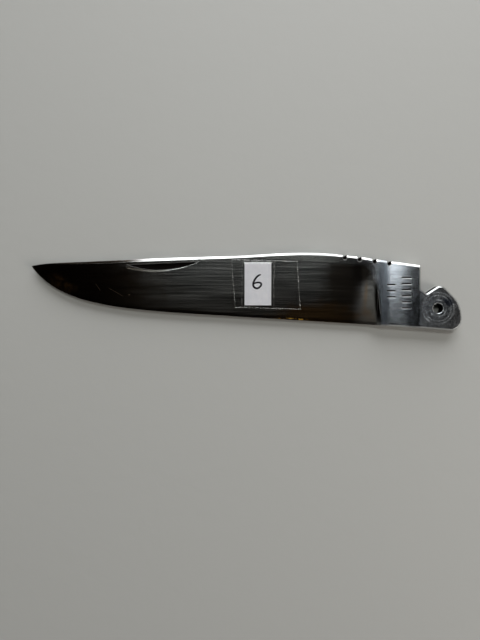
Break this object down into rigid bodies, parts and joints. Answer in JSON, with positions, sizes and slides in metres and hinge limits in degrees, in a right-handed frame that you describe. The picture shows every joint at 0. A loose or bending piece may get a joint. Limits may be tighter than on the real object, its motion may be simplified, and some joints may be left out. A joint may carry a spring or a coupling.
{
  "type": "folding knife blade",
  "caption": "Loose ground steel blade for a slip-joint folding knife: flat grind, plunge, nail nick, file-cut spine, bored tang with spring notch, and a taped paper lot label.",
  "frame": {"origin": "centre of the pivot bore, halfway through the thickness of the tang", "axes": "+X from the tip to the end of the tang, +Y from the cutting edge to the spine, +Z out of the side with the nail nick and the label"},
  "size_m": [0.1103, 0.0198, 0.0031],
  "materials": {
    "steel": "satin",
    "paper": "matte",
    "clear_film": "gloss"
  },
  "bodies": {
    "root": {"blade": "steel", "lot_label": "paper", "label_tape": "clear_film"}
  },
  "joints": []
}
